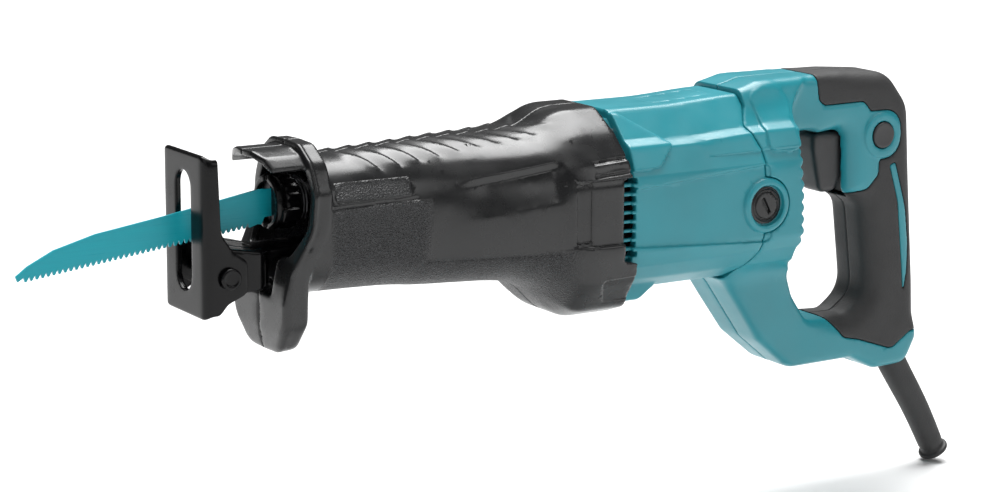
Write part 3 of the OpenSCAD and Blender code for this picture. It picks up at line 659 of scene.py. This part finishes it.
def handle_piece(side_name, mirror):
    f = Field((299, -46, -130), (448, 1.4, 44), STEP)
    x, z, ay = f.x, f.z, f.ay
    d = handle_outside(f)
    if side_name == "left":
        d = join(d, slab(disc(x, z, LOCK[0], LOCK[2], 12.6), ay - 19.4, 1.2), 0.8)
    d = cut(d, motor_boss(f, 14.9), 0.4)
    d = cut(d, np.maximum(np.sqrt(f.y ** 2 + (z - MOTOR_Z) ** 2) - 36.4, x - 336))
    d = cut(d, np.maximum(rect(x, z, 366, 409, -27.6, 8.2, 2), ay - 9.4), 0.3)
    d = cut(d, np.maximum(rect(x, z, 388, 425, -29, 12, 1), ay - 10))
    if side_name == "left":
        d = cut(d, disc(x, z, LOCK[0], LOCK[2], 7.55), 0.4)
    else:
        for sx, sz in SCREWS:
            d = cut(d, np.maximum(disc(x, z, sx, sz, 3.8), 13.2 - ay), 0.4)
    stripe = flat(x, z, [(417.5, -12.5, 1), (421.4, -11, 1), (430, -38, 20), (433, -58, 10),
                         (432.4, -72, 6), (430, -86, 0.5), (428.4, -70, 12), (424, -33, 20)])
    rubber = flat(x, z, GRIP)
    if side_name == "left":
        rubber = np.maximum(rubber, -disc(x, z, LOCK[0], LOCK[2], 13.4))
    rubber = np.maximum(rubber, -stripe)
    d = cut(d, guard_room(f))
    d = half(f, d)
    teal = cut(d, rubber - 0.16, 0.5)
    shell("handle_" + side_name, f, teal, mirror)
    skin = common(d - 0.12, rubber + 0.16, 0.5)
    skin = np.maximum(skin, f.y + SEAM)
    shell("grip_" + side_name, f, skin, mirror)


def tube_between(f, p, q, r0, r1):
    """Distance to a cone from p to q, not rounded at its ends."""
    p, q = np.array(p, float), np.array(q, float)
    length = np.linalg.norm(q - p)
    u = (q - p) / length
    t = (f.x - p[0]) * u[0] + (f.y - p[1]) * u[1] + (f.z - p[2]) * u[2]
    off = np.sqrt(np.maximum((f.x - p[0]) ** 2 + (f.y - p[1]) ** 2 + (f.z - p[2]) ** 2 - t * t, 0))
    r = r0 + (r1 - r0) * np.clip(t / length, 0, 1)
    return off - r, np.maximum(-t, t - length)


def guard_room(f):
    off, ends = tube_between(f, GUARD_TOP, GUARD_TIP, 8.95, 7.4)
    return np.maximum(off, ends)


def screw_places():
    """Centres of the handle screws, from the groups of vertices of their CAD node."""
    points = np.array([v.co for v in frame["nodes"]["handle_screws"].data.vertices]) / MM
    places = []
    for px, _, pz in points:
        for c in places:
            if math.hypot(c[0] / c[2] - px, c[1] / c[2] - pz) < 6:
                c[0] += px
                c[1] += pz
                c[2] += 1
                break
        else:
            places.append([px, pz, 1])
    return [(a / n, b / n) for a, b, n in places]


SCREWS = screw_places()


def shoe():
    """Pressed steel shoe: a slotted plate with its sides bent back into ears for the rivet."""
    lo, hi = box_mm("shoe")
    f = Field((-1, lo[1] - 1, lo[2] - 1), (hi[0] + 1, hi[1] + 1, hi[2] + 1), FINE)
    x, y, z, ay = f.x, f.y, f.z, f.ay
    half_w, top, foot = hi[1], hi[2], lo[2]
    bend = np.maximum(flat(x, ay, [(0, -40, 0), (0, half_w, 5.4), (60, half_w, 0), (60, -40, 0)]),
                      -flat(x, ay, [(3.1, -40, 0), (3.1, half_w - 2.8, 2.4), (70, half_w - 2.8, 0),
                                    (70, -40, 0)]))
    side = flat(x, z, [(-5, top, 0), (7.5, top, 3.5), (8.8, -8, 8), (15, -17.5, 8), (22.5, -22.5, 5),
                       (22.6, -38, 5), (12, -42.5, 7), (6, foot, 4), (-5, foot, 0)])
    face = flat(y, z, [(-half_w, top, 6), (half_w, top, 6), (half_w, foot, 6), (-half_w, foot, 6)])
    d = slab(bend, np.maximum(side, face), 1.5)
    slot = flat(y, z, [(-8, 20, 7.8), (8, 20, 7.8), (8, -38, 7.8), (-8, -38, 7.8)])
    d = cut(d, np.maximum(slot, x - 10), 0.7)
    shell("shoe", f, cut(d, np.maximum(disc(x, z, RIVET[0], RIVET[2], 3.1), 17 - ay)))


def shoe_rivet():
    side = box_mm("shoe")[1][1]
    f = Field((5, -side - 4, -38), (20, side + 4, -22), FINE)
    dome = disc(f.x, f.z, RIVET[0], RIVET[2], 5.3) + 0.02 * np.clip(f.ay - side - 0.1, 0, 9) ** 2
    head = slab(dome, np.maximum(f.ay - side - 2.5, side + 0.1 - f.ay), 0.9)
    head = cut(head, slab(disc(f.x, f.z, RIVET[0], RIVET[2], 3.4), side + 2.2 - f.ay, 0.3), 0.5)
    shell("shoe_rivet", f, join(head, np.maximum(disc(f.x, f.z, RIVET[0], RIVET[2], 3.0),
                                                 f.ay - side - 0.5)))


def shoe_bracket():
    """Bracket that carries the shoe: a channel at its front and a flat tongue behind."""
    f = Field((3, -21, -41), (127, 21, -14.5), FINE)
    x, z, ay = f.x, f.z, f.ay
    side = flat(x, z, [(RIVET[0] + 0.3, -16.1, 5), (39, -20.7, 6), (125, -20.7, 0.6), (125, -25.5, 0.6),
                       (40.5, -25.5, 3), (37.6, -38.4, 5), (RIVET[0], -38.9, 6), (7.2, -36.3, 5),
                       (4.7, -29.8, 6), (7.2, -21, 5)])
    plan = flat(x, ay, [(0, -40, 0), (0, 19.8, 0), (32, 19.8, 6), (38.6, 12, 4), (73, 12, 4),
                        (78, 15.1, 3), (126, 15.1, 3), (126, -40, 0)])
    d = slab(side, plan, 1.6)
    under = np.maximum(flat(x, z, [(-5, -60, 0), (-5, -19.6, 0), (12, -19.6, 2), (34.6, -24.2, 3),
                                   (34.6, -60, 0)]), ay - 17)
    d = cut(d, under, 0.8)
    d = cut(d, np.maximum(rect(x, f.y, -5, 22, -1.5, 1.5, 1.4), -21 - z), 0.4)
    d = cut(d, disc(x, f.y, 32.7, 0, 1.7), 0.5)
    d = cut(d, rect(x, f.y, 80, 120, -3.2, 3.2, 3.1), 0.3)
    groove = np.maximum(np.abs(rect(x, f.y, 20, 60, -9.5, 9.5, 6)) - 0.7, -22 - z)
    d = carve(d, groove, 0.5, 0.5)
    shell("shoe_bracket", f, d)


def clamp_collar():
    """Turning collar of the blade clamp, ribbed for the fingers, with two raised lugs."""
    lo, hi = box_mm("clamp_collar")
    f = Field((lo[0] - 1, -17.5, -17.5), (hi[0] + 1, 17.5, 17.5), FINE)
    y, z, length = f.y, f.z, hi[0] - lo[0]
    x = f.x - lo[0]
    r = np.sqrt(y * y + z * z)
    turn = np.arctan2(z, y)
    rib = 0.45 * np.cos(turn * 18) * step_up(x, 5, 6.5)
    body = slab(r - 13.0 - rib, np.maximum(0.2 - x, x - length + 0.3), 1.2)
    rim = slab(r - 13.4, np.maximum(0.1 - x, x - 4), 1.4)
    waist = slab(np.abs(r - 13.4) - 0.8, np.abs(x - 5.2) - 0.7, 0.4)
    from_lug = np.mod(turn - math.radians(20) + math.pi / 2, math.pi) - math.pi / 2
    lug = np.abs(from_lug) * np.maximum(r, 1) - 3.6
    lugs = np.maximum(slab(slab(r - 15.8, lug, 1.4), np.maximum(2.1 - x, x - length + 1.1), 1.2), 9 - r)
    d = join(cut(join(body, rim, 0.6), waist, 0.3), lugs, 0.9)
    d = cut(d, np.maximum(r - 10.6, 2.6 - x), 0.3)
    d = cut(d, r - 10.12, 0.8)
    notch = np.maximum(np.abs(y) - 2.2, 2.2 - x)
    face = np.maximum(np.abs(y) - 1.9, x - 1.4)
    d = cut(d, face, 0.4)
    shell("clamp_collar", f, cut(d, np.maximum(notch, 9 - np.abs(z)), 0.3))


def trigger():
    f = Field((369.5, -10, -28), (393, 10, 8.5), FINE)
    x, z = f.x, f.z
    front = [(371.2, 7.6, 3), (391.8, 7.6, 0.5), (391.8, -18, 4), (386.8, -25.8, 5), (377, -25.8, 4),
             (374.2, -14, 14), (371.6, -2, 12)]
    shell("trigger", f, slab(flat(x, z, front), f.ay - 8.9, 3.2))


def lock_button():
    lo, hi = box_mm("lock_button")
    f = Field((LOCK[0] - 9, lo[1] - 1.5, LOCK[2] - 9), (LOCK[0] + 9, hi[1] + 1.5, LOCK[2] + 9), FINE)
    dish = 0.02 * ((f.x - LOCK[0]) ** 2 + (f.z - LOCK[2]) ** 2)
    d = slab(disc(f.x, f.z, LOCK[0], LOCK[2], 7.1), np.maximum(lo[1] + 0.6 - 0.4 * dish - f.y,
                                                               f.y - hi[1]), 0.9)
    shell("lock_button", f, d)


def brush_caps():
    """Slotted screw caps over the motor brushes."""
    lo, hi = box_mm("brush_caps")
    f = Field((lo[0] - 3, lo[1] - 1, lo[2] - 3), (hi[0] + 3, hi[1] + 1, hi[2] + 3), FINE)
    x, z, ay = f.x, f.z, f.ay
    d = slab(disc(x, z, BRUSH[0], BRUSH[2], 8.5), np.maximum(38.4 - ay, ay - hi[1] + 0.1), 0.7)
    rim = slab(disc(x, z, BRUSH[0], BRUSH[2], 10.3), np.maximum(41.5 - ay, ay - hi[1] + 0.9), 0.7)
    d = join(d, rim, 0.3)
    ring = np.abs(disc(x, z, BRUSH[0], BRUSH[2], 7.3)) - 0.45
    d = carve(d, np.maximum(ring, hi[1] - 2.4 - ay), 0.8, 0.3)
    tilt = math.radians(-62)
    u = (x - BRUSH[0]) * math.cos(tilt) + (z - BRUSH[2]) * math.sin(tilt)
    v = (z - BRUSH[2]) * math.cos(tilt) - (x - BRUSH[0]) * math.sin(tilt)
    d = cut(d, np.maximum(np.maximum(np.abs(v) - 0.9, np.abs(u) - 4.6), hi[1] - 1.9 - ay), 0.3)
    shell("brush_caps", f, d).data.materials[0] = MATERIALS["black_plastic"]


def cord_guard():
    """Moulded guard round the cord's exit: a gently bent sleeve with a rim at its mouth."""
    f = Field((418, -10.5, -192), (484, 10.5, -105), max(FINE, 0.5))
    spine_x = [(0, GUARD_TOP[0]), (0.25, 439), (0.6, 457), (1, GUARD_TIP[0])]
    spine_z = [(0, GUARD_TOP[2]), (0.25, -130), (0.6, -158), (1, GUARD_TIP[2])]
    bend = [(np.array((curve(t, spine_x), 0, curve(t, spine_z))), 8.6 - 1.6 * t)
            for t in np.linspace(0, 1, 15)]
    d = np.full((f.x.size, f.y.size, f.z.size), 50.0)
    for (a, r0), (b, r1) in zip(bend, bend[1:]):
        off, ends = tube_between(f, a, b, r0, r1)
        d = np.minimum(d, np.maximum(off, ends - 1))
    along = ends_along(f)
    off, _ = tube_between(f, bend[-2][0], bend[-1][0], 8.6, 8.6)
    d = np.maximum(d, np.maximum(-along, along - GUARD_LENGTH))
    rim = slab(off, np.abs(along - GUARD_LENGTH + 1.35) - 1.3, 1.0)
    waist = np.exp(-((along - GUARD_LENGTH + 4.2) / 1.6) ** 2) * 0.5
    d = join(d + waist, rim, 1.0)
    bore, _ = tube_between(f, GUARD_TOP, GUARD_TIP, 4.1, 4.1)
    shell("cord_guard", f, cut(d, bore, 0.8))


def ends_along(f):
    """Distance along the guard from its top."""
    u = (np.array(GUARD_TIP) - np.array(GUARD_TOP)) / GUARD_LENGTH
    return (f.x - GUARD_TOP[0]) * u[0] + (f.z - GUARD_TOP[2]) * u[2] + 0 * f.y


motor_housing()
for name, flipped in (("left", False), ("right", True)):
    front_cover(name, flipped)
    handle_piece(name, flipped)
for piece in (shoe, shoe_rivet, shoe_bracket, clamp_collar, trigger, lock_button, brush_caps, cord_guard):
    piece()

# ---- CAD nodes that stay ---------------------------------------------------

BLACKENED = ("clamp_holder", "clamp_pin", "clamp_spring")

for node, obj in frame["nodes"].items():
    obj.data.materials.clear()
    obj.data.materials.append(MATERIALS["dark_steel" if node in BLACKENED else SLOT[node]])

# ---- camera, light and floor -----------------------------------------------

AZIMUTH, ELEVATION, ROLL = map(math.radians, (32.1, 11.77, 0.35))
DISTANCE = 1.3816
LENS = 97.75
TARGET = Vector((0.1769, 0.0, -0.0355))


def add_camera():
    data = bpy.data.cameras.new("camera")
    data.lens = LENS
    data.sensor_width = 36.0
    data.clip_end = 50
    cam = bpy.data.objects.new("camera", data)
    away = Vector((-math.sin(AZIMUTH) * math.cos(ELEVATION), -math.cos(AZIMUTH) * math.cos(ELEVATION),
                   math.sin(ELEVATION)))
    cam.location = TARGET + away * DISTANCE
    cam.rotation_euler = (-away).to_track_quat("-Z", "Y").to_euler()
    cam.rotation_euler.rotate_axis("Z", ROLL)
    bpy.context.scene.collection.objects.link(cam)
    bpy.context.scene.camera = cam


def add_light(name, place, size, power):
    data = bpy.data.lights.new(name, "AREA")
    data.shape = "RECTANGLE"
    data.size, data.size_y = size
    data.energy = power
    lamp = bpy.data.objects.new(name, data)
    lamp.location = place
    lamp.rotation_euler = (TARGET - Vector(place)).to_track_quat("-Z", "Y").to_euler()
    bpy.context.scene.collection.objects.link(lamp)


def add_sky(source, spread, power):
    """A wide soft light from above, the same all over the floor."""
    data = bpy.data.lights.new("overhead", "SUN")
    data.energy = power
    data.angle = math.radians(spread)
    lamp = bpy.data.objects.new("overhead", data)
    lamp.rotation_euler = Vector(source).to_track_quat("Z", "Y").to_euler()
    bpy.context.scene.collection.objects.link(lamp)


def add_floor():
    size = 12.0
    z = CAD_BOX[0].z - 0.001
    floor = make_mesh("floor", [(-size, -size, z), (size, -size, z), (size, size, z), (-size, size, z)],
                      [(0, 1, 2, 3)])
    s = Shade("floor", (0.72, 0.72, 0.72), 0.85, specular=0.1)
    s.bump(s.noise(40.0, 2.0), 0.02, 0.0002)
    floor.data.materials.append(s.mat)


def add_world():
    world = bpy.data.worlds.new("studio")
    world.use_nodes = True
    world.node_tree.nodes["Background"].inputs["Color"].default_value = (1, 1, 1, 1)
    world.node_tree.nodes["Background"].inputs["Strength"].default_value = 0.12
    bpy.context.scene.world = world
    bpy.context.scene.view_settings.view_transform = "Standard"


add_camera()
add_sky((0.22, 0.3, 1.0), 50, 6.3)
add_light("key", (-1.3, -1.1, 0.8), (1.3, 1.0), 4)
add_light("front", (1.1, -1.5, 0.8), (1.2, 0.6), 5)
add_light("above", (-0.15, -0.75, 1.35), (1.5, 0.8), 5)
add_world()
add_floor()
